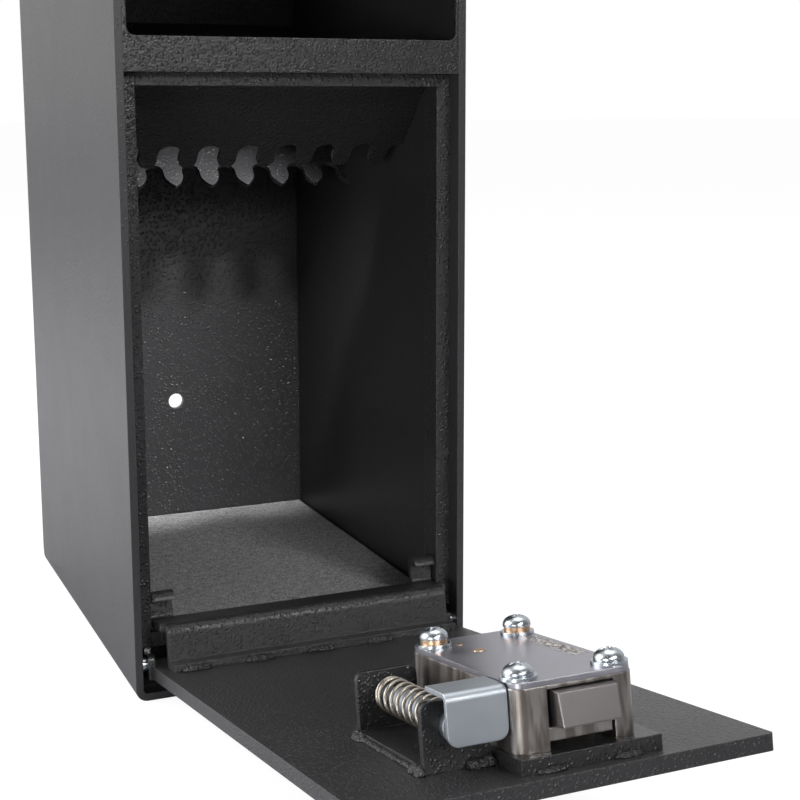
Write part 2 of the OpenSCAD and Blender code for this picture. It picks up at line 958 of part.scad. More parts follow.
// Climb of the wire per turn where the turns are open, and the slope of a climb.
close_pitch = spring_wire + 0.6;
open_pitch = (spring_length - 2 * (spring_wire + spring_ease) - close_turns * close_pitch)
  / open_turns;
function slope(pitch) = atan(pitch / (2 * PI * spring_radius));

// Height after t turns, with the close turns first.
function climb(t) = close_pitch * min(t, close_turns) + open_pitch * max(0, t - close_turns);

// Rings of the spring's path: angle, height and slope of the wire.
all_turns = close_turns + open_turns;
turn_steps = 8 * all_turns;
ease_angle = spring_ease / spring_radius * 180 / PI;
end_angle = ease_angle + 360 * all_turns;
spring_path = concat(
  [[0, 0, 90], [0, spring_wire, 90]],
  [for (i = [1 : 2])
    let (b = 90 - (90 - slope(close_pitch)) * i / 3)
      [ease_angle * (1 - sin(b)), spring_wire + spring_ease * cos(b), b]],
  [for (i = [0 : turn_steps])
    let (t = i / 8, b = slope(t < close_turns ? close_pitch : open_pitch))
      [ease_angle + 360 * t, spring_wire + spring_ease + climb(t), b]],
  [for (i = [1 : 2])
    let (b = slope(open_pitch) + (90 - slope(open_pitch)) * i / 3)
      [end_angle + ease_angle * sin(b), spring_length - spring_wire - spring_ease * cos(b), b]],
  [[end_angle + ease_angle, spring_length - spring_wire, 90],
    [end_angle + ease_angle, spring_length, 90]]
);

// The centre of ring i, and one of the six corners of that ring.
function ring_centre(i) = [
  spring_radius * cos(spring_path[i][0]),
  spring_radius * sin(spring_path[i][0]),
  spring_path[i][1]
];
function ring_point(i, j) =
  let (
    a = spring_path[i][0],
    b = spring_path[i][2],
    c = spring_wire / 2 * cos(60 * j),
    s = spring_wire / 2 * sin(60 * j)
  )
  ring_centre(i) + [
    c * cos(a) + s * sin(b) * sin(a),
    c * sin(a) - s * sin(b) * cos(a),
    s * cos(b)
  ];

// Least gap between rings at least half a turn apart, wire surface to wire surface.
ring_count = len(spring_path);
spring_gap = min([for (i = [0 : ring_count - 1])
  for (k = [i + 4 : 1 : ring_count - 1])
    norm(ring_centre(i) - ring_centre(k))]) - spring_wire;

// The relocker's spring, as one unbroken tube.
module relock_spring() {
  n = ring_count;
  color("#b9a06a")
    swung()
      translate([relock_x, relock_y, bracket_rear])
        polyhedron(
          points = [for (i = [0 : n - 1]) for (j = [0 : 5]) ring_point(i, j)],
          faces = concat(
            [for (j = [1 : 4]) [0, j, j + 1]],
            [for (i = [0 : n - 2])
              for (j = [0 : 5])
                [6 * i + j, 6 * i + 6 + (j + 1) % 6, 6 * i + (j + 1) % 6]],
            [for (i = [0 : n - 2])
              for (j = [0 : 5])
                [6 * i + j, 6 * i + 6 + j, 6 * i + 6 + (j + 1) % 6]],
            [for (j = [1 : 4]) [6 * n - 6, 6 * n - 6 + j + 1, 6 * n - 6 + j]]
          )
        );
}

// The case's outline in X and Z.
module case_outline(gap = 0) {
  translate([lock_x, (case_foot + case_top) / 2])
    round_rect(case_width - 2 * gap, case_length - 2 * gap, case_corner - gap);
}

// The cast lock case, open in front for the bolt.
module lock_case() {
  window_x = lock_x - window_left;
  window_width = window_left + window_right;
  front_depth = 14;
  front_rim = 2.9;
  front_step = 0.4;
  slit_width = 1.2;
  slit_length = 5;
  color("#b8b2a6")
    swung()
      difference() {
        slab_y(riser_face, case_height)
          case_outline();
        translate([window_x, window_low, bolt_tip - bolt_length - bolt_room])
          cube([window_width, window_high - window_low, case_length]);
        translate([window_x, riser_face - over, case_top - front_depth])
          cube([window_width - front_step, front_rim + over, front_depth + over]);
        translate([window_x + window_width - front_step - slit_width, riser_face - over,
            case_top - slit_length])
          cube([slit_width, window_low - riser_face + 2 * over, slit_length + over]);
        rod_y(plug_x, plug_z, riser_face - over, window_low + over, cam_radius + cam_gap);
        screw_bores(riser_face - over, case_face + over, screw_hole);
      }
}

// The cover plate.
module lock_cover() {
  color("#c4beb2")
    swung()
      difference() {
        slab_y(case_face, cover_sheet)
          case_outline(cover_inset);
        screw_bores(case_face - over, cover_face + over, screw_hole);
        for (p = rivets)
          rod_y(p[0], p[1], case_face - over, cover_face + over, p[2]);
      }
}

// Two small rivets that hold the cover's inner plate.
module cover_rivets() {
  color("#b08d6a")
    swung()
      for (p = rivets)
        rod_y(p[0], p[1], case_face, cover_face + rivet_rise, p[2]);
}

// Four round-headed screws with a cross recess. The row nearer the hinge has split washers.
module lock_screws() {
  ball = (pow(screw_head_radius, 2) + pow(screw_head_height, 2)) / (2 * screw_head_height);
  color("#c9ccd1")
    swung()
      for (x = [-1, 1])
        for (z = [-1, 1]) {
          seat = cover_face + washer_sheet + (z < 0 ? split_sheet : 0);
          translate([lock_x + x * screw_spacing_x / 2, seat, screw_z + z * screw_spacing_z / 2])
            rotate([-90, 0, 0]) {
              difference() {
                intersection() {
                  translate([0, 0, screw_head_height - ball])
                    sphere(ball);
                  cylinder(h = screw_head_height + over, r = screw_head_radius);
                }
                for (a = [recess_turn, recess_turn + 90])
                  rotate(a)
                    translate([-recess_length / 2, -recess_width / 2,
                        screw_head_height - recess_depth])
                      cube([recess_length, recess_width, recess_depth + over]);
              }
              translate([0, 0, shank_end - seat])
                cylinder(h = seat - shank_end + shank_sink, r = screw_radius);
            }
        }
}

// Rings on the given rows of screws between two heights, with a slit of the given width.
module rings(y0, y1, r, slit, rows) {
  for (x = [-1, 1])
    for (z = rows)
      translate([lock_x + x * screw_spacing_x / 2, y1, screw_z + z * screw_spacing_z / 2])
        rotate([90, 0, 0])
          difference() {
            cylinder(h = y1 - y0, r = r);
            translate([0, 0, -over])
              cylinder(h = y1 - y0 + 2 * over, r = screw_hole);
            if (slit > 0)
              rotate(split_turn)
                translate([0, -slit / 2, -over])
                  cube([2 * r, slit, y1 - y0 + 2 * over]);
          }
}

// The split washers under the two screws nearer the hinge.
module split_washers() {
  low = cover_face + washer_sheet;
  color("#b98d62")
    swung()
      rings(low, low + split_sheet, screw_head_radius - split_step, split_gap, [-1]);
}

// The flat washers on the cover.
module flat_washers() {
  color("#c9ccd1")
    swung()
      rings(cover_face, cover_face + washer_sheet, washer_radius, 0, [-1, 1]);
}

// The lock cylinder's fixed shell, with its rim on the door's outer face.
module cylinder_shell() {
  color("#c4beb2")
    swung()
      difference() {
        union() {
          rod_y(plug_x, plug_z, -rim_height, 0, rim_radius);
          rod_y(plug_x, plug_z, 0, riser_face, cylinder_radius);
        }
        rod_y(plug_x, plug_z, -rim_height - over, riser_face + over, plug_radius + fit);
      }
}

// The plug that the key turns, with its keyway.
module key_plug() {
  color("#c9b46e")
    swung()
      difference() {
        rod_y(plug_x, plug_z, -rim_height + plug_sink, cam_low, plug_radius);
        translate([plug_x - keyway_width / 2, -rim_height - over, plug_z - keyway_height / 2])
          cube([keyway_width, keyway_depth, keyway_height]);
      }
}

// The cam on the plug's end, with the crank pin that moves the bolt.
module drive_cam() {
  color("#b8b2a6")
    swung() {
      rod_y(plug_x, plug_z, cam_low, cam_low + cam_sheet, cam_radius);
      rod_y(plug_x + crank_step, plug_z - crank_step, cam_low + cam_sheet,
        bolt_low + crank_pin_reach, crank_pin_radius);
    }
}

// The bolt, bevelled at its tip, with a cross slot for the crank pin.
module lock_bolt() {
  slot = 2 * (crank_pin_radius + crank_slot_gap);
  x0 = bolt_x - bolt_width / 2;
  low = bolt_low + bolt_height - bolt_top_cut;
  rake = bolt_slope / bolt_height * over;
  color("#a79f94")
    swung()
      difference() {
        translate([x0, bolt_low, bolt_tip - bolt_length])
          cube([bolt_width, bolt_height, bolt_length]);
        translate([plug_x - crank_slot_left, bolt_low - over, plug_z - crank_step - slot / 2])
          cube([crank_radius + slot, crank_slot_depth + over, slot]);
        run_x(x0 - over, x0 + bolt_width + over)
          polygon([
            [low, bolt_tip + hair],
            [bolt_low + bolt_height + hair, bolt_tip - bolt_bevel],
            [bolt_low + bolt_height + over, bolt_tip + over],
            [low, bolt_tip + over]
          ]);
        run_x(x0 - over, x0 + bolt_width + over)
          polygon([
            [bolt_low - over, bolt_tip + rake],
            [bolt_low + bolt_height + over, bolt_tip - bolt_slope - rake],
            [bolt_low + bolt_height + over, bolt_tip + 2 * over],
            [bolt_low - over, bolt_tip + 2 * over]
          ]);
        slab_y(bolt_low - over, bolt_height + 2 * over)
          polygon([
            [x0 + bolt_side_cut, bolt_tip + hair],
            [x0 - hair, bolt_tip - bolt_bevel],
            [x0 - over, bolt_tip + over],
            [x0 + bolt_side_cut, bolt_tip + over]
          ]);
      }
}

// The relocking pin with its thin tail and its thick nose.
module relock_pin() {
  color("#c9ccd1")
    swung() {
      rod_z(relock_x, relock_y, tail_end, tail_step, pin_tail_radius);
      rod_z(relock_x, relock_y, tail_step, collar_rear, pin_radius);
      rod_z(relock_x, relock_y, collar_rear, nose_end, nose_radius);
      rod_z(relock_x, relock_y, nose_end, plate_front - plate_sheet, pin_radius);
    }
}

// The collar that the spring pushes against the front ear.
module relock_collar() {
  color("#c3c9d0")
    swung()
      difference() {
        rod_z(relock_x, relock_y, collar_rear, collar_rear + collar_sheet, collar_radius);
        rod_z(relock_x, relock_y, collar_rear - over, collar_rear + collar_sheet + over,
          nose_radius);
      }
}

// The angled plate on the pin's front end.
module relock_plate() {
  r = plate_bend;
  corner = plate_corner;
  color("#d3d7dc")
    swung()
      intersection() {
        run_x(plate_left, plate_left + plate_width) {
          translate([plate_top_y - plate_sheet, plate_front - plate_depth])
            square([plate_sheet, plate_depth - r]);
          translate([plate_low_y, plate_front - plate_sheet])
            square([plate_drop - r, plate_sheet]);
          translate([plate_top_y - r, plate_front - r])
            bend(r, plate_sheet, 0);
        }
        translate([plate_left, plate_low_y, plate_front - plate_depth])
          linear_extrude(plate_depth)
            union() {
              translate([0, corner])
                square([plate_width, plate_drop]);
              translate([corner, 0])
                square([plate_width - 2 * corner, plate_drop]);
              for (x = [corner, plate_width - corner])
                translate([x, corner])
                  circle(corner);
            }
      }
}

echo(spring_gap = spring_gap);

body_wrap();
back_panel();
front_panel();
chute_plate();
rear_baffle();
jamb_left();
jamb_right();
head_stop();
sill_rail();
floor_pan();
floor_mat();
hinge_pins();
door_plate();
hinge_ears();
pry_bar();
pry_bar_welds();
lock_riser();
riser_welds();
bracket();
bracket_welds();
relock_spring();
lock_case();
lock_cover();
cover_rivets();
lock_screws();
split_washers();
flat_washers();
cylinder_shell();
key_plug();
drive_cam();
lock_bolt();
relock_pin();
relock_collar();
relock_plate();
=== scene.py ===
"""Finishes, fine pieces, floor, light and camera for a small drop safe with its door open."""

import json
import math

import bpy
from bpy.props import FloatProperty, FloatVectorProperty, IntProperty, PointerProperty
from mathutils import Matrix, Quaternion, Vector


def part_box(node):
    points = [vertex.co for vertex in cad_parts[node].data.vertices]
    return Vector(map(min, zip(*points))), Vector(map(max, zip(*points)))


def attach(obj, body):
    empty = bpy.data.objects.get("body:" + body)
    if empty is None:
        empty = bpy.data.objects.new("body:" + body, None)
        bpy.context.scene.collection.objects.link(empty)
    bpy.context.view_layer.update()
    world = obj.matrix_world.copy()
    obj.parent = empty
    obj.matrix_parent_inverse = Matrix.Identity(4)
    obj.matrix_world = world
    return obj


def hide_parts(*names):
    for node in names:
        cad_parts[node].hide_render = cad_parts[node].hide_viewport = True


bl_info = {
    "name": "Drop safe finishes",
    "version": (1, 0, 0),
    "blender": (4, 5, 0),
    "location": "3D View > Sidebar > Safe",
    "description": "Dresses the drop safe with finishes and fine pieces, and sets its studio",
    "category": "Object",
}

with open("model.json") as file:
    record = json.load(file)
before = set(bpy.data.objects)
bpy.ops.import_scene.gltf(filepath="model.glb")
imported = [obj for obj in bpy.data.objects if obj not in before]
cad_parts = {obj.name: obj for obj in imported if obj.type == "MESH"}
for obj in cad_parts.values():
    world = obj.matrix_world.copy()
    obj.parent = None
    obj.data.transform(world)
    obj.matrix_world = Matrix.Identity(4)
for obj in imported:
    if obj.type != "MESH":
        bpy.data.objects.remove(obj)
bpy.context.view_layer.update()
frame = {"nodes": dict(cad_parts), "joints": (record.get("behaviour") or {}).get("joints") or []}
MM = 0.001
WHITE = (1, 1, 1, 1)
HINGE = next(j for j in frame["joints"] if j["name"] == "door_hinge")
SWING = math.radians(HINGE["range_deg"][1])
PIVOT = Vector(HINGE["pos_m"])
OPENING = (Matrix.Translation(PIVOT) @ Matrix.Rotation(SWING, 4, "X")
           @ Matrix.Translation(-PIVOT))
CLOSING = OPENING.inverted()


def shut_box(node):
    """Lowest and highest corner of a CAD node of the door, with the door swung shut."""
    points = [CLOSING @ v.co for v in frame["nodes"][node].data.vertices]
    low = Vector([min(p[i] for p in points) for i in range(3)])
    high = Vector([max(p[i] for p in points) for i in range(3)])
    return low, high


class CoatSettings(bpy.types.PropertyGroup):
    """The black powder coat."""
    colour: FloatVectorProperty(
        name="Colour", description="Colour of the powder coat", subtype="COLOR",
        size=3, min=0, max=1, default=(0.02, 0.02, 0.021))
    # Colour of the painted highlight along the coat's edges, standing for light caught by their
    # rounding.
    edge_highlight: FloatVectorProperty(
        name="Worn coat", description="Colour of the coat's rubbed edges", subtype="COLOR",
        size=3, min=0, max=1, default=(0.3, 0.3, 0.31))
    grain: FloatProperty(
        name="Grain", description="Distance between the bumps of the coat", unit="LENGTH",
        default=1.1 * MM)
    relief: FloatProperty(
        name="Relief", description="Height of the bumps", unit="LENGTH", default=0.3 * MM)
    patch: FloatProperty(
        name="Patch", description="Distance between rougher and smoother patches",
        unit="LENGTH", default=30 * MM)
    edge: FloatProperty(
        name="Edge", description="Radius of the edges under the coat", unit="LENGTH",
        default=0.6 * MM)
    # Width of the painted edge highlight.
    highlight_width: FloatProperty(
        name="Rub", description="Width of the rubbed edges", unit="LENGTH", default=0.5 * MM)
    # Distance between the patches of the painted edge highlight along an edge.
    highlight_spacing: FloatProperty(
        name="Chafe", description="Distance between the rubbed places on an edge",
        unit="LENGTH", default=3 * MM)
    roughness: FloatProperty(
        name="Roughness", description="Roughness between the bumps", min=0, max=1, default=0.24)
    # How strong the painted edge highlight on the coat is.
    wear_and_highlight: FloatProperty(
        name="Wear", description="How light the coat's edges are", min=0, max=1, default=0.3)
    shine: FloatProperty(
        name="Shine", description="Strength of the coat's reflections", min=0, max=1,
        default=0.5)


class MetalSettings(bpy.types.PropertyGroup):
    """The plated and bare metals."""
    nickel: FloatVectorProperty(
        name="Nickel", description="Colour of the plated lock case", subtype="COLOR",
        size=3, min=0, max=1, default=(0.42, 0.395, 0.375))
    zinc: FloatVectorProperty(
        name="Zinc", description="Colour of the plated plunger", subtype="COLOR",
        size=3, min=0, max=1, default=(0.44, 0.475, 0.515))
    bright: FloatVectorProperty(
        name="Bright steel", description="Colour of the screws, flat washers and hinge pins",
        subtype="COLOR", size=3, min=0, max=1, default=(0.55, 0.59, 0.63))
    bolt: FloatVectorProperty(
        name="Bolt", description="Colour of the bolt", subtype="COLOR",
        size=3, min=0, max=1, default=(0.2, 0.187, 0.187))
    copper: FloatVectorProperty(
        name="Copper", description="Colour of the split washers and the cover's rivets",
        subtype="COLOR", size=3, min=0, max=1, default=(0.6, 0.41, 0.27))
    spring: FloatVectorProperty(
        name="Spring", description="Colour of the spring's wire", subtype="COLOR",
        size=3, min=0, max=1, default=(0.38, 0.345, 0.3))
    brass: FloatVectorProperty(
        name="Brass", description="Colour of the key plug", subtype="COLOR",
        size=3, min=0, max=1, default=(0.8, 0.64, 0.33))


class CoverSettings(bpy.types.PropertyGroup):
    """The lock's cast cover."""
    colour: FloatVectorProperty(
        name="Cover", description="Colour of the lock's cover", subtype="COLOR",
        size=3, min=0, max=1, default=(0.5, 0.495, 0.55))
    pebbles: FloatVectorProperty(
        name="Pebbles", description="Colour of the pebbles in its band", subtype="COLOR",
        size=3, min=0, max=1, default=(0.8, 0.77, 0.74))
    pits: FloatVectorProperty(
        name="Pits", description="Colour between the pebbles", subtype="COLOR",
        size=3, min=0, max=1, default=(0.12, 0.082, 0.054))
    # Colour of the painted highlight along the cover's edges, standing for light caught by their
    # rounding.
    painted_edge_light: FloatVectorProperty(
        name="Rubbed edges", description="Colour of the rubbed edges", subtype="COLOR",
        size=3, min=0, max=1, default=(0.9, 0.88, 0.86))
    pebble: FloatProperty(
        name="Pebble", description="Distance between the pebbles", unit="LENGTH",
        default=1.3 * MM)
    relief: FloatProperty(
        name="Relief", description="Height of the pebbles", unit="LENGTH", default=0.5 * MM)
    cloud: FloatProperty(
        name="Cloud", description="Distance between lighter and darker places",
        unit="LENGTH", default=14 * MM)
    mark: FloatProperty(
        name="Mark", description="Distance between the marks of handling", unit="LENGTH",
        default=1.6 * MM)
    edge: FloatProperty(
        name="Edge", description="Radius of the cover's edges", unit="LENGTH",
        default=0.6 * MM)
    # Width of the painted edge highlight on the cover.
    highlight_width: FloatProperty(
        name="Rub", description="Width of the rubbed edges", unit="LENGTH", default=0.4 * MM)


class FeltSettings(bpy.types.PropertyGroup):
    """The felt mat."""
    light: FloatVectorProperty(
        name="Light fibres", description="Colour of the lightest fibres", subtype="COLOR",
        size=3, min=0, max=1, default=(0.85, 0.84, 0.84))
    dark: FloatVectorProperty(
        name="Dark fibres", description="Colour of the darkest fibres", subtype="COLOR",
        size=3, min=0, max=1, default=(0.1, 0.1, 0.105))
    speck: FloatProperty(
        name="Speck", description="Distance between the fibres' specks", unit="LENGTH",
        default=1.0 * MM)
    tuft: FloatProperty(
        name="Tuft", description="Distance between the felt's tufts", unit="LENGTH",
        default=4 * MM)
    pile: FloatProperty(
        name="Pile", description="Height of the fibres", unit="LENGTH", default=0.5 * MM)
    nap: FloatProperty(
        name="Nap", description="Unevenness of the mat's surface", unit="LENGTH",
        default=0.5 * MM)
    waves: FloatProperty(
        name="Waves", description="Distance between the mat's uneven places", unit="LENGTH",
        default=9 * MM)
    margin: FloatProperty(
        name="Margin", description="Room above and below the mat for its unevenness",
        unit="LENGTH", default=0.3 * MM)
    cell: FloatProperty(
        name="Cell", description="Mesh size of the mat", unit="LENGTH", default=2.04 * MM)


class SpringSettings(bpy.types.PropertyGroup):
    """The plunger's spring."""
    wire: FloatProperty(
        name="Wire", description="Thickness of the wire", unit="LENGTH", default=1.3 * MM)
    gap: FloatProperty(
        name="Gap", description="Gap between the close turns", unit="LENGTH",
        default=0.6 * MM)
    close_turns: FloatProperty(
        name="Close turns", description="Number of close turns at one end", default=1.5)
    open_turns: FloatProperty(
        name="Open turns", description="Number of open turns", default=7.5)
    steps: IntProperty(
        name="Steps", description="Points along the wire in each turn", default=24)
    sides: IntProperty(
        name="Sides", description="Sides of the round wire", default=14)


class ScrewSettings(bpy.types.PropertyGroup):
    """The lock's four screws."""
    radius: FloatProperty(
        name="Head radius", description="Radius of a screw's head", unit="LENGTH",
        default=4.8 * MM)
    height: FloatProperty(
        name="Head height", description="Height of a screw's head", unit="LENGTH",
        default=3.8 * MM)
    rim: FloatProperty(
        name="Rim", description="Height of the head's straight rim", unit="LENGTH",
        default=0.7 * MM)
    shank: FloatProperty(
        name="Shank", description="Radius of the shank under the head", unit="LENGTH",
        default=2.4 * MM)
    recess: FloatProperty(
        name="Recess", description="Length of the cross recess", unit="LENGTH",
        default=5.2 * MM)
    slot: FloatProperty(
        name="Slot", description="Width of the cross recess", unit="LENGTH",
        default=1.1 * MM)
    bevel: FloatProperty(
        name="Bevel", description="Width of the bevels along its edges", unit="LENGTH",
        default=0.2 * MM)
    sides: IntProperty(
        name="Sides", description="Sides of the round head", default=44)
    rings: IntProperty(
        name="Rings", description="Rings of the ball that the head is cut from", default=26)


class WeldSettings(bpy.types.PropertyGroup):
    """The rough welds under the coat."""
    voxel: FloatProperty(
        name="Voxel", description="Mesh size of the welds", unit="LENGTH", default=0.3 * MM)
    lump: FloatProperty(
        name="Lump", description="Size of the welds' lumps", unit="LENGTH", default=2.2 * MM)
    rise: FloatProperty(
        name="Rise", description="Height of the welds' lumps", unit="LENGTH",
        default=0.9 * MM)
    grain: FloatProperty(
        name="Grain", description="Distance between the bumps on the welds", unit="LENGTH",
        default=1.2 * MM)
    relief: FloatProperty(
        name="Relief", description="Height of the bumps on the welds", unit="LENGTH",
        default=1.1 * MM)


class StudioSettings(bpy.types.PropertyGroup):
    """The camera, the floor and the lights."""
    camera_place: FloatVectorProperty(
        name="Camera", description="Place of the camera", subtype="TRANSLATION", unit="LENGTH",
        size=3, default=(-0.209, -0.69444, 0.24627))
    turn: FloatProperty(
        name="Turn", description="Turn of the camera from straight ahead", subtype="ANGLE",
        default=0.40862)
    tilt: FloatProperty(
        name="Tilt", description="Tilt of the camera", subtype="ANGLE", default=-0.16796)
    roll: FloatProperty(
        name="Roll", description="Roll of the camera", subtype="ANGLE", default=-0.00236)
    sensor: FloatProperty(
        name="Sensor", description="Width of the camera's sensor, in mm", default=36.0)
    lens: FloatProperty(
        name="Lens", description="Focal length of the lens, in mm", default=66.68)
    shift: FloatProperty(
        name="Shift", description="Upward shift of the lens", default=-0.05)
    floor_front: FloatVectorProperty(
        name="Floor in front", description="Colour of the floor in front, as it lights the safe",
        subtype="COLOR", size=3, min=0, max=1, default=(0.2, 0.2, 0.21))
    floor_back: FloatVectorProperty(
        name="Floor behind", description="Colour of the floor behind, as it lights the safe",
        subtype="COLOR", size=3, min=0, max=1, default=(0.78, 0.78, 0.82))
    floor_seen: FloatVectorProperty(
        name="Floor seen", description="Colour of the floor that the camera sees",
        subtype="COLOR", size=3, min=0, max=1, default=(0.86, 0.86, 0.86))
    floor_glow: FloatProperty(
        name="Floor glow", description="Strength of the glow that the camera sees",
        default=1.15)
    glow_share: FloatProperty(
        name="Glow share", description="How much the glow hides the floor's shadow", min=0,
        max=1, default=0.78)
    sky_back: FloatProperty(
        name="Sky behind", description="Strength of the light from behind", default=0.72)
    sky_front: FloatProperty(
        name="Sky in front", description="Strength of the light from in front", default=0.1)
    left_lamp: FloatProperty(
        name="Left lamp", description="Power of the soft box behind on the left", unit="POWER",
        default=34.0)
    key_lamp: FloatProperty(
        name="Key lamp", description="Power of the small lamp in front on the right",
        unit="POWER", default=7.0)
    fill_lamp: FloatProperty(
        name="Fill lamp", description="Power of the low soft box in front on the left",
        unit="POWER", default=6.0)
    front_lamp: FloatProperty(
        name="Front lamp", description="Power of the wide soft box in front", unit="POWER",
        default=5.0)
    top_lamp: FloatProperty(
        name="Top lamp", description="Power of the soft box overhead", unit="POWER",
        default=9.0)
    door_lamp: FloatProperty(
        name="Door lamp", description="Power of the beam through the doorway", unit="POWER",
        default=0.011)
    mouth_lamp: FloatProperty(
        name="Mouth lamp", description="Power of the small lamp inside the mouth",
        unit="POWER", default=0.18)


class SafeSettings(bpy.types.PropertyGroup):
    """All settings of the safe."""
    coat: PointerProperty(type=CoatSettings)
    metal: PointerProperty(type=MetalSettings)
    cover: PointerProperty(type=CoverSettings)
    felt: PointerProperty(type=FeltSettings)
    spring: PointerProperty(type=SpringSettings)
    screw: PointerProperty(type=ScrewSettings)
    weld: PointerProperty(type=WeldSettings)
    studio: PointerProperty(type=StudioSettings)


class Value:
    """A shader socket that takes part in Python expressions."""

    def __init__(self, shader, socket):
        self.shader = shader
        self.socket = socket

    def _math(self, operation, first, second):
        node = self.shader.node("ShaderNodeMath", {"operation": operation})
        self.shader.feed(node.inputs[0], first)
        self.shader.feed(node.inputs[1], second)
        return Value(self.shader, node.outputs[0])

    def __add__(self, other):
        return self._math("ADD", self, other)

    def __radd__(self, other):
        return self._math("ADD", other, self)

    def __sub__(self, other):
        return self._math("SUBTRACT", self, other)

    def __rsub__(self, other):
        return self._math("SUBTRACT", other, self)

    def __mul__(self, other):
        return self._math("MULTIPLY", self, other)

    def __rmul__(self, other):
        return self._math("MULTIPLY", other, self)

    def __pow__(self, other):
        return self._math("POWER", self, other)


class Shader:
    """A tree of shader nodes under construction."""

    def __init__(self, tree):
        self.tree = tree
        self.tree.nodes.clear()

    def feed(self, socket, value):
        """Links a socket to a value, or writes a constant on it."""
        if isinstance(value, Value):
            self.tree.links.new(value.socket, socket)
        elif isinstance(value, bpy.types.NodeSocket):
            self.tree.links.new(value, socket)
        else:
            socket.default_value = value

    def node(self, kind, settings=None, **inputs):
        """A node of the given type, with its settings first and then its sockets."""
        made = self.tree.nodes.new(kind)
        for name, value in (settings or {}).items():
            if name == "stops":
                self._stops(made.color_ramp, value)
            else:
                setattr(made, name, value)
        for name, value in inputs.items():
            self.feed(made.inputs[name.replace("_", " ")], value)
        return made

    @staticmethod
    def _stops(ramp, stops):
        while len(ramp.elements) < len(stops):
            ramp.elements.new(0.5)
        for element, (place, level) in zip(ramp.elements, stops):
            element.position = place
            element.color = (level, level, level, 1)

    def vector(self, operation, first, second):
        """A Vector Math node on two vectors."""
        made = self.node("ShaderNodeVectorMath", {"operation": operation})
        self.feed(made.inputs[0], first)
        self.feed(made.inputs[1], second)
        return made

    def span(self, value, start, end, low=0.0, high=1.0):
        """low at start and high at end, and level beyond them."""
        made = self.node("ShaderNodeMapRange", Value=value, From_Min=start, From_Max=end,
                         To_Min=low, To_Max=high)
        return Value(self, made.outputs[0])

    def mixed(self, share, first, second):
        """Two shaders mixed, share being the second's part."""
        made = self.node("ShaderNodeMixShader")
        for socket, value in zip(made.inputs, (share, first.outputs[0], second.outputs[0])):
            self.feed(socket, value)
        return made

    def to_camera(self, hidden, seen):
        """One shader that lights the scene, and another that the camera sees in its place."""
        path = self.node("ShaderNodeLightPath")
        return self.mixed(path.outputs["Is Camera Ray"], hidden, seen)


class Finish(Shader):
    """A material under construction."""

    def __init__(self, name):
        self.material = bpy.data.materials.new(name)
        self.material.use_nodes = True
        super().__init__(self.material.node_tree)
        self.place = self.node("ShaderNodeTexCoord").outputs["Object"]

    def noise(self, size, detail=2.0, rough=0.5, place=None):
        """Noise whose features are about as far apart as size, in metres."""
        made = self.node("ShaderNodeTexNoise", Vector=place or self.place, Scale=1 / size,
                         Detail=detail, Roughness=rough)
        return Value(self, made.outputs["Fac"])

    def ramp(self, value, *stops):
        """A value passed through a ramp of (place, level) stops."""
        made = self.node("ShaderNodeValToRGB", {"stops": stops}, Fac=value)
        return Value(self, made.outputs["Color"])

    def stretched(self, scale):
        """Object coordinates scaled along each axis."""
        made = self.node("ShaderNodeMapping", Vector=self.place, Scale=scale)
        return made.outputs["Vector"]

    def dots(self, spacing):
        """Round bumps from 0 to 1, pushed out of line by a slower swirl."""
        drift = self.node("ShaderNodeTexNoise", Vector=self.place, Scale=0.5 / spacing)
        swirl = self.node("ShaderNodeVectorMath", {"operation": "SCALE"}, Scale=spacing * 0.8)
        self.feed(swirl.inputs[0], drift.outputs["Color"])
        pushed = self.vector("ADD", self.place, swirl.outputs[0])
        cells = self.node("ShaderNodeTexVoronoi", Vector=pushed.outputs[0], Scale=0.6 / spacing)
        return self.ramp(1 - Value(self, cells.outputs["Distance"]) ** 2.0 * 6.0, (0, 0), (1, 1))

    def bump(self, height, depth, normal=None):
        """A normal bent by a height from 0 to 1 that stands for depth, in metres."""
        made = self.node("ShaderNodeBump", Height=height, Distance=depth, Strength=1.0)
        if normal is not None:
            self.feed(made.inputs["Normal"], normal)
        return made.outputs["Normal"]

    def rounded(self, radius):
        """A normal that looks rounded along sharp edges."""
        made = self.node("ShaderNodeBevel", {"samples": 4}, Radius=radius)
        return made.outputs["Normal"]

    def edges(self, radius):
        """1 on sharp edges and 0 away from them."""
        level = self.vector("DOT_PRODUCT", self.rounded(radius),
                            self.node("ShaderNodeNewGeometry").outputs["Normal"])
        return self.ramp(1 - Value(self, level.outputs["Value"]), (0.01, 0), (0.2, 1))

    def blend(self, share, first, second):
        """A colour between two."""
        made = self.node("ShaderNodeMix", {"data_type": "RGBA"})
        self.feed(made.inputs["Factor"], share)
        self.feed(made.inputs[6], first)
        self.feed(made.inputs[7], second)
        return made.outputs[2]

    def surface(self, **inputs):
        """Closes the material with one principled shader."""
        shader = self.node("ShaderNodeBsdfPrincipled", **inputs)
        self.node("ShaderNodeOutputMaterial", Surface=shader.outputs[0])
        return self.material


def rgba(colour, level=1.0):
    """A colour with its alpha, times one level or times a level for each of its parts."""
    levels = level if isinstance(level, tuple) else (level,) * 3
    return (*(min(1.0, c * part) for c, part in zip(colour, levels)), 1.0)


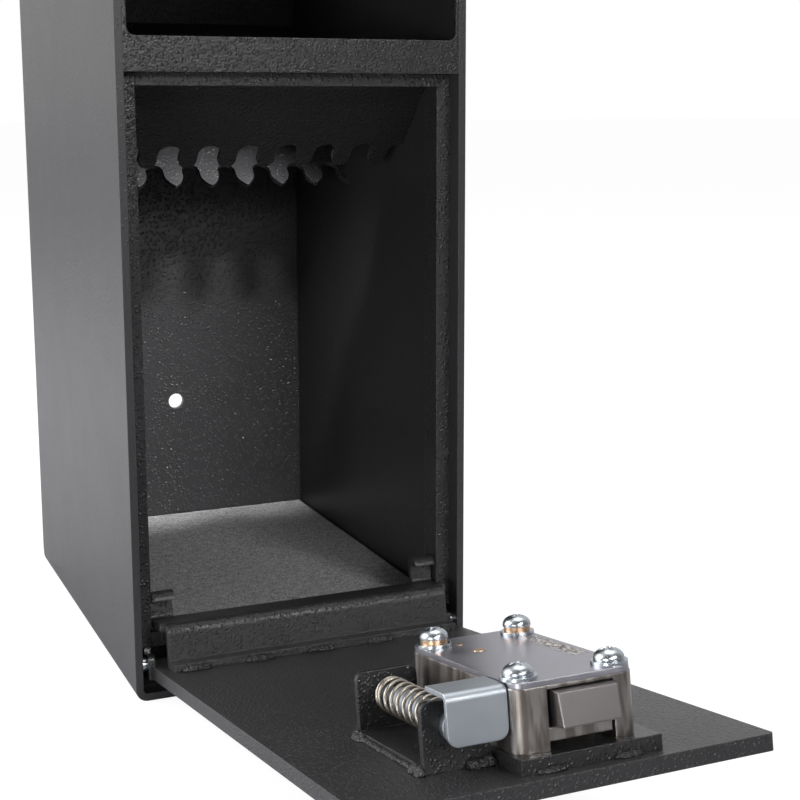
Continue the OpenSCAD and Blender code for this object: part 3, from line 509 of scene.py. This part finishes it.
def powder_coat(settings, name, relief=1.0, rough=0.0, painted_brightness=1.0, grain=1.0):
    """Black powder coat with the irregular bumps of a hammered texture.

    relief and grain multiply the settings' relief and grain, and rough is added. The colour
    factor multiplies the coat's colour as painted light and shade: the same black coat is made
    lighter or darker on each group of parts.
    """
    coat = Finish(name)
    spacing = settings.grain * grain
    dots = coat.dots(spacing)
    waves = coat.noise(spacing * 0.8, detail=1.0)
    fine = coat.noise(spacing * 0.35)
    patch = coat.noise(settings.patch)
    # The dots stand highest, and the waves and the fine noise roughen them.
    height = dots * (patch * 0.5 + 0.9) + waves * 0.6 + fine * 0.2
    normal = coat.bump(height, settings.relief * relief, coat.rounded(settings.edge))
    # Random tone from the waves, times the colour factor, which lightens or darkens this copy of
    # the coat as painted light and shade.
    tint = coat.blend(waves, rgba(settings.colour, 0.8 * painted_brightness), rgba(settings.colour, 1.3 * painted_brightness))
    # Painted highlights along the coat's edges, broken into patches, for light caught by their
    # rounding.
    painted_edge_light = coat.edges(settings.highlight_width) * (coat.noise(settings.highlight_spacing, detail=3.0) * 1.6 - 0.3)
    tint = coat.blend(painted_edge_light * settings.wear_and_highlight, tint, rgba(settings.edge_highlight))
    roughness = (patch - 0.5) * 0.06 + (fine - 0.5) * 0.1 + (settings.roughness + rough)
    return coat.surface(Base_Color=tint, Normal=normal, Roughness=roughness,
                        Specular_IOR_Level=settings.shine)


def weld_coat(coat, settings):
    """Glossier coat over rough weld."""
    weld = Finish("weld_coat")
    lumps = weld.noise(settings.grain, detail=3.0, rough=0.6)
    return weld.surface(Base_Color=rgba(coat.colour, 0.9), Roughness=lumps * 0.25 + 0.12,
                        Normal=weld.bump(lumps, settings.relief))


# Strands in a metre along each axis: thin across the mat and long from front to back.
STRANDS = (1500, 420, 900)


def felt(settings):
    """Grey felt of mixed light and dark fibres."""
    wool = Finish("felt")
    specks = wool.ramp(wool.noise(settings.speck, detail=4.0, rough=0.8), (0.4, 0), (0.6, 1))
    tufts = wool.ramp(wool.noise(settings.tuft, detail=3.0, rough=0.6), (0.35, 0), (0.65, 1))
    strands = wool.noise(1.0, detail=5.0, rough=0.7, place=wool.stretched(STRANDS))
    strands = wool.ramp(strands, (0.35, 0), (0.65, 1))
    tint = wool.blend(specks * 0.5 + tufts * 0.2 + strands * 0.3, rgba(settings.dark),
                      rgba(settings.light))
    normal = wool.bump(specks * 0.6 + strands * 0.4, settings.pile)
    return wool.surface(Base_Color=tint, Roughness=1.0, Normal=normal)


# Painted dark reflections in upright streaks: streaks in a metre along each axis, narrow and
# upright, and their share of each colour.
STREAKS = (280, 280, 14)
DARK_REFLECTION = (0.32, 0.29, 0.26)


def metal(colour, name, rough, wear_and_highlight=0.1, grain=6 * MM, relief=0.01 * MM, edge=0.35 * MM,
          streaks=False):
    """A metal with slight waves and painted highlights along its edges, and with painted dark
    reflections in upright streaks if asked.

    rough is its roughness and wear the change of it, grain and relief are the waves' distance
    and height, and edge is the radius of its edges.
    """
    plate = Finish(name)
    waves = plate.noise(grain)
    fine = plate.noise(grain * 0.12, detail=3.0, rough=0.6)
    normal = plate.bump(waves * 0.6 + fine * 0.4, relief, plate.rounded(edge))
    tint = plate.blend(waves * 0.6 + fine * 0.3, rgba(colour, 0.85), rgba(colour))
    # Painted highlights along the edges, where their rounding would catch the light.
    tint = plate.blend(plate.edges(edge * 0.7) * (fine * 0.8 + 0.2), tint, rgba(colour, 3))
    # Painted dark reflections, in upright streaks.
    if streaks:
        bands = plate.noise(1.0, place=plate.stretched(STREAKS))
        tint = plate.blend(plate.ramp(bands, (0.42, 0.75), (0.58, 0)), tint,
                           rgba(colour, DARK_REFLECTION))
    roughness = (fine - 0.5) * wear_and_highlight + (waves - 0.5) * wear_and_highlight + rough
    return plate.surface(Base_Color=tint, Metallic=1.0, Normal=normal, Roughness=roughness)


# The cover's pebbled band: how far in from the cover's sides each soft edge starts and ends.
BAND_INNER = (9 * MM, 6 * MM)
BAND_OUTER = (1.5 * MM, 2.5 * MM)
BAND_FRONT = (22 * MM, 26 * MM)
BAND_REAR = (14 * MM, 18 * MM)
# The marks of handling are four times as long from front to back.
MARKS = (1, 0.25, 1)


def cover_metal(settings):
    """The cast cover: cool grey, marked by handling, with a pebbled band along one edge."""
    cover = Finish("cover_plate")
    low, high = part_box("lock_cover")
    parts = cover.node("ShaderNodeSeparateXYZ", Vector=cover.place)
    inner = cover.span(parts.outputs["X"], *(high.x - inset for inset in BAND_INNER))
    outer = cover.span(parts.outputs["X"], *(high.x - inset for inset in BAND_OUTER))
    front = cover.span(parts.outputs["Y"], *(low.y + inset for inset in BAND_FRONT))
    rear = cover.span(parts.outputs["Y"], *(high.y - inset for inset in BAND_REAR))
    band = inner * outer * front * rear
    pebbles = cover.ramp(cover.noise(settings.pebble, rough=0.6), (0.45, 0), (0.55, 1))
    clouds = cover.noise(settings.cloud, detail=4.0, rough=0.6)
    marks = cover.noise(settings.mark, detail=5.0, rough=0.75, place=cover.stretched(MARKS))
    marks = cover.ramp(marks, (0.62, 0), (0.7, 1))
    pits = band * (1 - pebbles)
    tint = cover.blend(clouds, rgba(settings.colour, 0.62), rgba(settings.colour))
    tint = cover.blend(marks * 0.5, tint, rgba(settings.colour, 0.6))
    tint = cover.blend(pits * 0.95, tint, rgba(settings.pits))
    tint = cover.blend(band * pebbles * 0.7, tint, rgba(settings.pebbles))
    # Painted highlight along the cover's edges.
    tint = cover.blend(cover.edges(settings.highlight_width) * 0.7, tint, rgba(settings.painted_edge_light))
    normal = cover.bump(band * pebbles + clouds * 0.05, settings.relief,
                        cover.rounded(settings.edge))
    roughness = (clouds - 0.5) * 0.25 + marks * 0.1 + 0.34
    return cover.surface(Base_Color=tint, Metallic=1.0, Normal=normal, Roughness=roughness)


# Where the floor and the sky start and end their change from front to back.
FLOOR_SWEEP = (-0.9, 0.5)
SKY_SWEEP = (-0.5, 0.3)


def floor_paper(studio):
    """A pale floor, whiter to the camera, that keeps the shadow and darkens towards the front."""
    paper = Finish("floor_paper")
    depth = paper.node("ShaderNodeSeparateXYZ", Vector=paper.place).outputs["Y"]
    tint = paper.blend(paper.span(depth, *FLOOR_SWEEP), rgba(studio.floor_front),
                       rgba(studio.floor_back))
    dull = paper.node("ShaderNodeBsdfDiffuse", Color=tint)
    pale = paper.node("ShaderNodeBsdfDiffuse", Color=rgba(studio.floor_seen))
    glow = paper.node("ShaderNodeEmission", Color=WHITE, Strength=studio.floor_glow)
    shown = paper.to_camera(dull, paper.mixed(studio.glow_share, pale, glow))
    paper.node("ShaderNodeOutputMaterial", Surface=shown.outputs[0])
    return paper.material


# Copies of one black powder coat; each copy's colour factor is painted light and shade for its
# parts.
COATS = {
    "coat": {"name": "powder_coat"},
    "smooth_coat": {"name": "smooth_powder_coat", "relief": 0.2, "rough": 0.15, "painted_brightness": 1.5},
    "deep_coat": {"name": "deep_powder_coat", "relief": 1.1, "rough": 0.05, "painted_brightness": 1.3},
    "door_coat": {"name": "door_powder_coat", "relief": 0.8, "rough": 0.1, "painted_brightness": 1.1,
                  "grain": 0.8},
    "small_coat": {"name": "fine_powder_coat", "relief": 0.35, "painted_brightness": 0.9, "grain": 0.8},
}
METALS = {
    "nickel": {"name": "nickel_plate", "rough": 0.36, "wear_and_highlight": 0.14, "grain": 9 * MM,
               "relief": 0.018 * MM, "edge": 0.7 * MM, "streaks": True},
    "zinc": {"name": "zinc_plate", "rough": 0.46, "wear_and_highlight": 0.12, "grain": 12 * MM,
             "relief": 0.012 * MM, "edge": 0.5 * MM},
    "bright": {"name": "bright_plate", "rough": 0.27, "grain": 5 * MM},
    "bolt": {"name": "bolt_metal", "rough": 0.42, "wear_and_highlight": 0.15, "grain": 7 * MM,
             "relief": 0.02 * MM, "edge": 0.8 * MM},
    "copper": {"name": "copper_wash", "rough": 0.35, "wear_and_highlight": 0.2, "grain": 3 * MM},
    "spring": {"name": "spring_wire", "rough": 0.3, "wear_and_highlight": 0.16, "grain": 4 * MM},
    "brass": {"name": "yellow_brass", "rough": 0.25},
}
NODE_FINISHES = {
    "smooth_coat": ("body_wrap",),
    "door_coat": ("door_plate", "pry_bar", "sill_rail"),
    "small_coat": ("bracket", "lock_riser", "hinge_ears"),
    "deep_coat": ("back_panel", "rear_baffle", "jamb_right", "head_stop"),
    "coat": ("front_panel", "chute_plate", "jamb_left", "floor_pan"),
    "weld": ("pry_bar_welds", "riser_welds", "bracket_welds"),
    "felt": ("floor_mat",),
    "nickel": ("lock_case", "drive_cam", "cylinder_shell"),
    "cover": ("lock_cover",),
    "zinc": ("relock_pin", "relock_collar", "relock_plate"),
    "bright": ("lock_screws", "flat_washers", "hinge_pins"),
    "bolt": ("lock_bolt",),
    "copper": ("split_washers", "cover_rivets"),
    "spring": ("relock_spring",),
    "brass": ("key_plug",),
}
FINISHES = {}


def finishes():
    """All materials by name, made once."""
    if not FINISHES:
        safe = bpy.context.scene.safe
        for key, recipe in COATS.items():
            FINISHES[key] = powder_coat(safe.coat, **recipe)
        for key, recipe in METALS.items():
            FINISHES[key] = metal(getattr(safe.metal, key), **recipe)
        FINISHES["weld"] = weld_coat(safe.coat, safe.weld)
        FINISHES["felt"] = felt(safe.felt)
        FINISHES["cover"] = cover_metal(safe.cover)
    return FINISHES


def take(*pieces):
    """Selects these pieces only, so that an operator acts on them, with the first one active."""
    for thing in bpy.context.selected_objects:
        thing.select_set(False)
    for piece in pieces:
        piece.select_set(True)
    if pieces:
        bpy.context.view_layer.objects.active = pieces[0]


def apply_modifier(piece, kind, **settings):
    """Adds one modifier with its settings and applies it."""
    made = piece.modifiers.new(kind.lower(), kind)
    for name, value in settings.items():
        setattr(made, name, value)
    bpy.ops.object.modifier_apply(modifier=made.name)


def settle(piece, name, body, finish, nodes, opened=True):
    """Names a finished piece, swings it open with the door and puts its origin at the frame's."""
    if opened:
        piece.matrix_world = OPENING @ piece.matrix_world
    take(piece)
    bpy.ops.object.transform_apply(location=True, rotation=True, scale=True)
    piece.name = name
    piece.data.name = name
    piece.data.materials.clear()
    piece.data.materials.append(finishes()[finish])
    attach(piece, body)
    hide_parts(*nodes)


# Edges up to these angles are shaded smooth, and a screw's sharper edges are bevelled.
MAT_SMOOTH = math.radians(50)
SCREW_SMOOTH = math.radians(40)
SCREW_SHARP = math.radians(35)


class SAFE_OT_paint(bpy.types.Operator):
    """Gives every carried-over solid its finish"""
    bl_idname = "safe.paint"
    bl_label = "Paint the solids"

    def execute(self, context):
        for finish, names in NODE_FINISHES.items():
            for name in names:
                data = frame["nodes"][name].data
                data.materials.clear()
                data.materials.append(finishes()[finish])
        return {"FINISHED"}


class SAFE_OT_mat(bpy.types.Operator):
    """Lays the felt mat on the raised floor"""
    bl_idname = "safe.mat"
    bl_label = "Felt mat"

    def execute(self, context):
        settings = context.scene.safe.felt
        low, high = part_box("floor_mat")
        size = high - low
        take()
        bpy.ops.mesh.primitive_grid_add(
            x_subdivisions=round(size.x / settings.cell),
            y_subdivisions=round(size.y / settings.cell), size=1,
            location=((low.x + high.x) / 2, (low.y + high.y) / 2, high.z - settings.margin))
        mat = context.active_object
        mat.scale = (size.x, size.y, 1)
        bpy.ops.object.transform_apply(location=False, rotation=False, scale=True)
        clouds = bpy.data.textures.new("nap", "CLOUDS")
        clouds.noise_scale = settings.waves
        apply_modifier(mat, "DISPLACE", texture=clouds, strength=settings.nap, mid_level=0.5)
        apply_modifier(mat, "SOLIDIFY", thickness=size.z - 2 * settings.margin, offset=-1)
        bpy.ops.object.shade_smooth_by_angle(angle=MAT_SMOOTH)
        settle(mat, "felt_mat", "cabinet", "felt", ["floor_mat"], opened=False)
        return {"FINISHED"}


class SAFE_OT_spring(bpy.types.Operator):
    """Winds the plunger's spring from round wire"""
    bl_idname = "safe.spring"
    bl_label = "Plunger spring"

    def execute(self, context):
        settings = context.scene.safe.spring
        low, high = shut_box("relock_spring")
        foot = Vector(((low.x + high.x) / 2, (low.y + high.y) / 2, low.z))
        radius = (high.x - low.x) / 2 - settings.wire / 2
        points = self.wind(settings, radius, high.z - low.z)
        curve = bpy.data.curves.new("spring", "CURVE")
        curve.dimensions = "3D"
        curve.bevel_depth = settings.wire / 2
        curve.bevel_resolution = settings.sides // 2 - 1
        curve.use_fill_caps = True
        spline = curve.splines.new("NURBS")
        spline.points.add(len(points) - 1)
        for point, place in zip(spline.points, points):
            point.co = (*(Vector(place) + foot), 1)
        spline.order_u = 3
        spline.use_endpoint_u = True
        spline.resolution_u = 2
        spring = bpy.data.objects.new("spring", curve)
        context.scene.collection.objects.link(spring)
        take(spring)
        bpy.ops.object.convert(target="MESH")
        bpy.ops.object.shade_smooth()
        settle(context.active_object, "wound_spring", "door", "spring",
               ["relock_spring"])
        return {"FINISHED"}

    @staticmethod
    def wind(settings, radius, height):
        """Points along the middle of the wire, upwards around the Z axis from its lower end.

        At both ends the wire leaves its turn and runs out to the spring's full height.
        """
        ease = settings.wire
        start = settings.wire + ease
        close_pitch = settings.wire + settings.gap
        open_pitch = ((height - 2 * start - settings.close_turns * close_pitch)
                      / settings.open_turns)
        turns = settings.close_turns + settings.open_turns
        points = [(radius, 0, 0)]
        for step in range(int(settings.steps * turns) + 1):
            done = step / settings.steps
            angle = 2 * math.pi * done + ease / radius
            climb = (close_pitch * min(done, settings.close_turns)
                     + open_pitch * max(0, done - settings.close_turns))
            points.append((radius * math.cos(angle), radius * math.sin(angle), start + climb))
        last = 2 * math.pi * turns + 2 * ease / radius
        points.append((radius * math.cos(last), radius * math.sin(last), height))
        return points


class SAFE_OT_screws(bpy.types.Operator):
    """Turns one round-headed screw with a cross recess and copies it to its four places"""
    bl_idname = "safe.screws"
    bl_label = "Lock screws"

    def execute(self, context):
        screw = context.scene.safe.screw
        low, high = shut_box("lock_screws")
        seats = {-1: shut_box("split_washers")[1].y, 1: shut_box("flat_washers")[1].y}
        first = self.turn_head(context, screw)
        heads = []
        for side in (-1, 1):
            for row in (-1, 1):
                take(first)
                bpy.ops.object.duplicate()
                head = context.active_object
                x = low.x + screw.radius if side < 0 else high.x - screw.radius
                z = low.z + screw.radius if row < 0 else high.z - screw.radius
                # Each screw was driven home at an angle of its own.
                turn = math.radians(25 + 40 * side + 17 * row)
                head.matrix_world = (Matrix.Translation((x, seats[row], z))
                                     @ Matrix.Rotation(-math.pi / 2, 4, "X")
                                     @ Matrix.Rotation(turn, 4, "Z"))
                heads.append(head)
        bpy.data.objects.remove(first)
        take(*heads)
        bpy.ops.object.join()
        settle(heads[0], "screws", "door", "bright", ["lock_screws"])
        return {"FINISHED"}

    @staticmethod
    def turn_head(context, screw):
        """One head with its foot in the XY plane, its axis along Z and a short shank."""
        take()
        bpy.ops.mesh.primitive_uv_sphere_add(segments=screw.sides, ring_count=screw.rings,
                                             radius=screw.radius)
        head = context.active_object
        bpy.ops.object.mode_set(mode="EDIT")
        bpy.ops.mesh.select_all(action="SELECT")
        bpy.ops.mesh.bisect(plane_co=(0, 0, 0), plane_no=(0, 0, 1), clear_inner=True,
                            use_fill=True)
        bpy.ops.mesh.select_all(action="SELECT")
        dome = (screw.height - screw.rim) / screw.radius
        bpy.ops.transform.resize(value=(1, 1, dome), center_override=(0, 0, 0))
        bpy.ops.transform.translate(value=(0, 0, screw.rim))
        bpy.ops.mesh.select_all(action="DESELECT")
        bpy.ops.object.mode_set(mode="OBJECT")
        # The cut is the only face that looks straight down.
        foot = [face for face in head.data.polygons if face.normal.z < -0.9]
        foot[0].select = True
        bpy.ops.object.mode_set(mode="EDIT")
        bpy.ops.mesh.select_mode(type="FACE")
        # The shank is as long as the rim is high.
        down = {"value": (0, 0, -screw.rim)}
        bpy.ops.mesh.extrude_region_move(TRANSFORM_OT_translate=down)
        bpy.ops.mesh.inset(thickness=screw.radius - screw.shank)
        bpy.ops.mesh.extrude_region_move(TRANSFORM_OT_translate=down)
        bpy.ops.object.mode_set(mode="OBJECT")
        for angle in (0, math.pi / 2):
            take()
            bpy.ops.mesh.primitive_cube_add(size=1, location=(0, 0, screw.height),
                                            rotation=(0, 0, angle))
            cutter = context.active_object
            cutter.scale = (screw.recess, screw.slot, 2 * screw.slot)
            take(head)
            apply_modifier(head, "BOOLEAN", object=cutter, operation="DIFFERENCE",
                           solver="EXACT")
            bpy.data.objects.remove(cutter)
        apply_modifier(head, "BEVEL", width=screw.bevel, segments=2, limit_method="ANGLE",
                       angle_limit=SCREW_SHARP)
        bpy.ops.object.shade_smooth_by_angle(angle=SCREW_SMOOTH)
        return head


# Points of a solid's loose triangles that are closer than this are one point.
SAME_POINT = 0.001 * MM


class SAFE_OT_welds(bpy.types.Operator):
    """Gives the welds their lumps and craters"""
    bl_idname = "safe.welds"
    bl_label = "Rough welds"

    def execute(self, context):
        weld = context.scene.safe.weld
        lumps = bpy.data.textures.new("lumps", "CLOUDS")
        lumps.noise_scale = weld.lump
        lumps.noise_depth = 2
        for node in NODE_FINISHES["weld"]:
            bead = bpy.data.objects.new(node + "_rough", frame["nodes"][node].data.copy())
            context.scene.collection.objects.link(bead)
            take(bead)
            bpy.ops.object.mode_set(mode="EDIT")
            bpy.ops.mesh.select_all(action="SELECT")
            bpy.ops.mesh.remove_doubles(threshold=SAME_POINT)
            bpy.ops.object.mode_set(mode="OBJECT")
            apply_modifier(bead, "REMESH", mode="VOXEL", voxel_size=weld.voxel)
            apply_modifier(bead, "DISPLACE", texture=lumps, strength=weld.rise,
                           mid_level=0.45)
            apply_modifier(bead, "SMOOTH", factor=0.5, iterations=1)
            bpy.ops.object.shade_smooth()
            settle(bead, "rough_" + node, "door", "weld", [node], opened=False)
        return {"FINISHED"}


# Each lamp's place, its width and height, and where they differ, what it shines at and how
# wide it spreads, in degrees.
LAMPS = {
    "left_lamp": {"place": (-1.5, 0.4, 0.75), "size": (1.3, 1.3)},
    "key_lamp": {"place": (0.42, -1.42, 0.95), "size": (0.3, 0.3)},
    "fill_lamp": {"place": (-1.0, -1.1, 0.15), "size": (0.4, 0.25)},
    "front_lamp": {"place": (0.0, -1.6, 0.6), "size": (0.8, 0.2)},
    "top_lamp": {"place": (0.3, 0.1, 1.6), "size": (1.2, 1.2), "target": (0, -0.15, 0)},
    "door_lamp": {"place": (0.04, -0.8, 0.34), "size": (0.12, 0.2),
                  "target": (0.04, -0.09, 0.06), "spread": 12},
    "mouth_lamp": {"place": (0.025, -0.09, 0.305), "size": (0.02, 0.01),
                   "target": (0.003, -0.03, 0.21), "spread": 62},
}
MIDDLE = (0, 0, 0.15)
FLOOR_SIZE = 60
# The floor lies just under the base, so that the two don't flicker through each other.
FLOOR_DROP = 0.02 * MM


class SAFE_OT_stage(bpy.types.Operator):
    """Sets the floor, the lamps, the sky and the camera"""
    bl_idname = "safe.stage"
    bl_label = "Studio"

    def execute(self, context):
        studio = context.scene.safe.studio
        self.lay_floor(context, studio)
        self.light_sky(context, studio)
        for name, lamp in LAMPS.items():
            self.hang_lamp(context, name, getattr(studio, name), **lamp)
        self.set_camera(context, studio)
        context.scene.view_settings.view_transform = "Standard"
        return {"FINISHED"}

    @staticmethod
    def lay_floor(context, studio):
        """A wide sheet of paper under the safe."""
        take()
        bpy.ops.mesh.primitive_plane_add(size=FLOOR_SIZE, location=(0, 0, -FLOOR_DROP))
        floor = context.active_object
        floor.name = "floor"
        floor.data.materials.append(floor_paper(studio))

    @staticmethod
    def light_sky(context, studio):
        """A sky that is white to the camera and gives more light from behind."""
        world = bpy.data.worlds.new("studio_sky")
        context.scene.world = world
        world.use_nodes = True
        sky = Shader(world.node_tree)
        place = sky.node("ShaderNodeTexCoord").outputs["Generated"]
        depth = sky.node("ShaderNodeSeparateXYZ", Vector=place).outputs["Y"]
        strength = sky.span(depth, *SKY_SWEEP, studio.sky_front, studio.sky_back)
        soft = sky.node("ShaderNodeBackground", Color=WHITE, Strength=strength)
        white = sky.node("ShaderNodeBackground", Color=WHITE, Strength=1.0)
        sky.node("ShaderNodeOutputWorld", Surface=sky.to_camera(soft, white).outputs[0])

    @staticmethod
    def hang_lamp(context, name, power, place, size, target=MIDDLE, spread=180):
        """A lamp that the camera doesn't see."""
        data = bpy.data.lights.new(name, "AREA")
        data.shape = "RECTANGLE"
        data.size, data.size_y = size
        data.energy = power
        data.spread = math.radians(spread)
        lamp = bpy.data.objects.new(name, data)
        context.scene.collection.objects.link(lamp)
        lamp.location = place
        lamp.visible_camera = False
        aim = Vector(target) - Vector(place)
        lamp.rotation_euler = aim.to_track_quat("-Z", "Y").to_euler()

    @staticmethod
    def set_camera(context, studio):
        """The photo's camera."""
        data = bpy.data.cameras.new("camera")
        data.sensor_width = studio.sensor
        data.lens = studio.lens
        data.shift_y = studio.shift
        camera = bpy.data.objects.new("camera", data)
        context.scene.collection.objects.link(camera)
        camera.location = studio.camera_place
        ahead = Vector((math.sin(studio.turn) * math.cos(studio.tilt),
                        math.cos(studio.turn) * math.cos(studio.tilt), math.sin(studio.tilt)))
        camera.rotation_mode = "QUATERNION"
        camera.rotation_quaternion = (ahead.to_track_quat("-Z", "Y")
                                      @ Quaternion((0, 0, 1), studio.roll))
        context.scene.camera = camera


class SAFE_PT_panel(bpy.types.Panel):
    """Lists the safe's settings and operators"""
    bl_idname = "SAFE_PT_panel"
    bl_label = "Drop safe"
    bl_space_type = "VIEW_3D"
    bl_region_type = "UI"
    bl_category = "Safe"

    def draw(self, context):
        safe = context.scene.safe
        for part in SafeSettings.__annotations__:
            group = getattr(safe, part)
            box = self.layout.box()
            for name in group.__annotations__:
                box.prop(group, name)
        for operator in PIECES:
            self.layout.operator(operator.bl_idname)


PIECES = (SAFE_OT_paint, SAFE_OT_mat, SAFE_OT_spring, SAFE_OT_screws, SAFE_OT_welds,
          SAFE_OT_stage)
CLASSES = (CoatSettings, MetalSettings, CoverSettings, FeltSettings, SpringSettings,
           ScrewSettings, WeldSettings, StudioSettings, SafeSettings, *PIECES, SAFE_PT_panel)


def register():
    for one in CLASSES:
        bpy.utils.register_class(one)
    bpy.types.Scene.safe = PointerProperty(type=SafeSettings)


def unregister():
    del bpy.types.Scene.safe
    for one in reversed(CLASSES):
        bpy.utils.unregister_class(one)


def main():
    """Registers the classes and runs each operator."""
    register()
    bpy.ops.safe.paint()
    bpy.ops.safe.mat()
    bpy.ops.safe.spring()
    bpy.ops.safe.screws()
    bpy.ops.safe.welds()
    bpy.ops.safe.stage()


if __name__ == "__main__":
    main()
